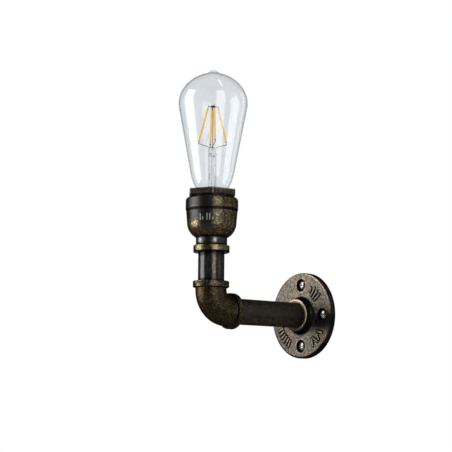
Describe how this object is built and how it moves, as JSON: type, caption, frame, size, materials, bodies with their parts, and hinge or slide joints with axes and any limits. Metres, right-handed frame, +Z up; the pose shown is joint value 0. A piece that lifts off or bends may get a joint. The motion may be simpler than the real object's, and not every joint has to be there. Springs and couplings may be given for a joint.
{
  "type": "industrial pipe wall light",
  "caption": "Wall light of iron pipe: round wall flange, horizontal arm, elbow, short riser, bell reducer and hexagonal bushing, with a clear pear-shaped filament bulb screwed into its top.",
  "frame": {"origin": "centre of the wall flange's back face, on the wall", "axes": "+Z up along the riser and bulb, +Y into the wall, so the arm runs out of it along -Y, and +X to the right of someone who faces the wall"},
  "size_m": [0.0912, 0.1739, 0.2927],
  "materials": {
    "cast_iron_aged": "aged black over bronze, rubbed to dull gold on the raised bands",
    "cast_iron_black": "rough black",
    "pipe_dark": "matte dark brown",
    "screw_chrome": "bright",
    "fibre": "pressed fibre",
    "phenolic": "moulded, low gloss",
    "contact_brass": "stamped",
    "zinc_steel": "zinc plated",
    "lead_black": "extruded",
    "lead_white": "extruded",
    "lead_green": "extruded",
    "cap_nickel": "nickel plated",
    "cap_glass": "fused black glass",
    "clear_glass": "clear, blown",
    "filament_yellow": "coated",
    "support_wire": "drawn",
    "board_green": "lacquered",
    "capacitor_can": "sleeved"
  },
  "bodies": {
    "fixture": {"wall_flange": "cast_iron_aged", "flange_screws": "screw_chrome", "arm_pipe": "pipe_dark", "elbow": "cast_iron_aged", "riser_pipe": "pipe_dark", "bell_reducer": "cast_iron_aged", "hex_bushing": "cast_iron_black", "holder_gasket": "fibre", "holder_body": "phenolic", "holder_cup": "phenolic", "screw_shell": "contact_brass", "shell_terminal": "contact_brass", "centre_terminal": "contact_brass", "terminal_screws": "contact_brass", "terminal_washers": "contact_brass", "support_disc": "zinc_steel", "holder_nipple": "zinc_steel", "lock_washer": "zinc_steel", "earth_lug": "zinc_steel", "nipple_locknut": "contact_brass", "lead_live": "lead_black", "lead_neutral": "lead_white", "lead_earth": "lead_green"},
    "contact_leaf": {"centre_contact": "contact_brass"},
    "bulb_contact": {"cap_contact": "contact_brass"},
    "bulb": {"bulb_cap": "cap_nickel", "cap_insulator": "cap_glass", "bulb_glass": "clear_glass", "bulb_stem": "clear_glass", "exhaust_tube": "clear_glass", "filament_1": "filament_yellow", "filament_2": "filament_yellow", "filament_3": "filament_yellow", "filament_4": "filament_yellow", "lead_in_wire_1": "support_wire", "lead_in_wire_2": "support_wire", "anchor_wire_1": "support_wire", "anchor_wire_2": "support_wire", "hub_wire": "support_wire", "driver_board": "board_green", "driver_capacitor": "capacitor_can"}
  },
  "joints": [
    {"name": "bulb_lift", "type": "slide", "parent": "fixture", "child": "bulb_contact", "axis": [0, 0, 1], "range_m": [0, 0.0182]},
    {"name": "bulb_turn", "type": "hinge", "parent": "bulb_contact", "child": "bulb", "pos_m": [0, -0.13, 0.11], "axis": [0, 0, 1], "range_deg": [0, 1800]},
    {"name": "contact_press", "type": "hinge", "parent": "fixture", "child": "contact_leaf", "pos_m": [-0.0083, -0.13, 0.0926], "axis": [0, 1, 0], "range_deg": [0, 5.5], "stiffness_Nm_per_rad": 0.16, "springref_deg": -9.74}
  ],
  "couplings": [
    {"joint": "bulb_lift", "follows": "bulb_turn", "m_per_rad": 0.00057757}
  ]
}
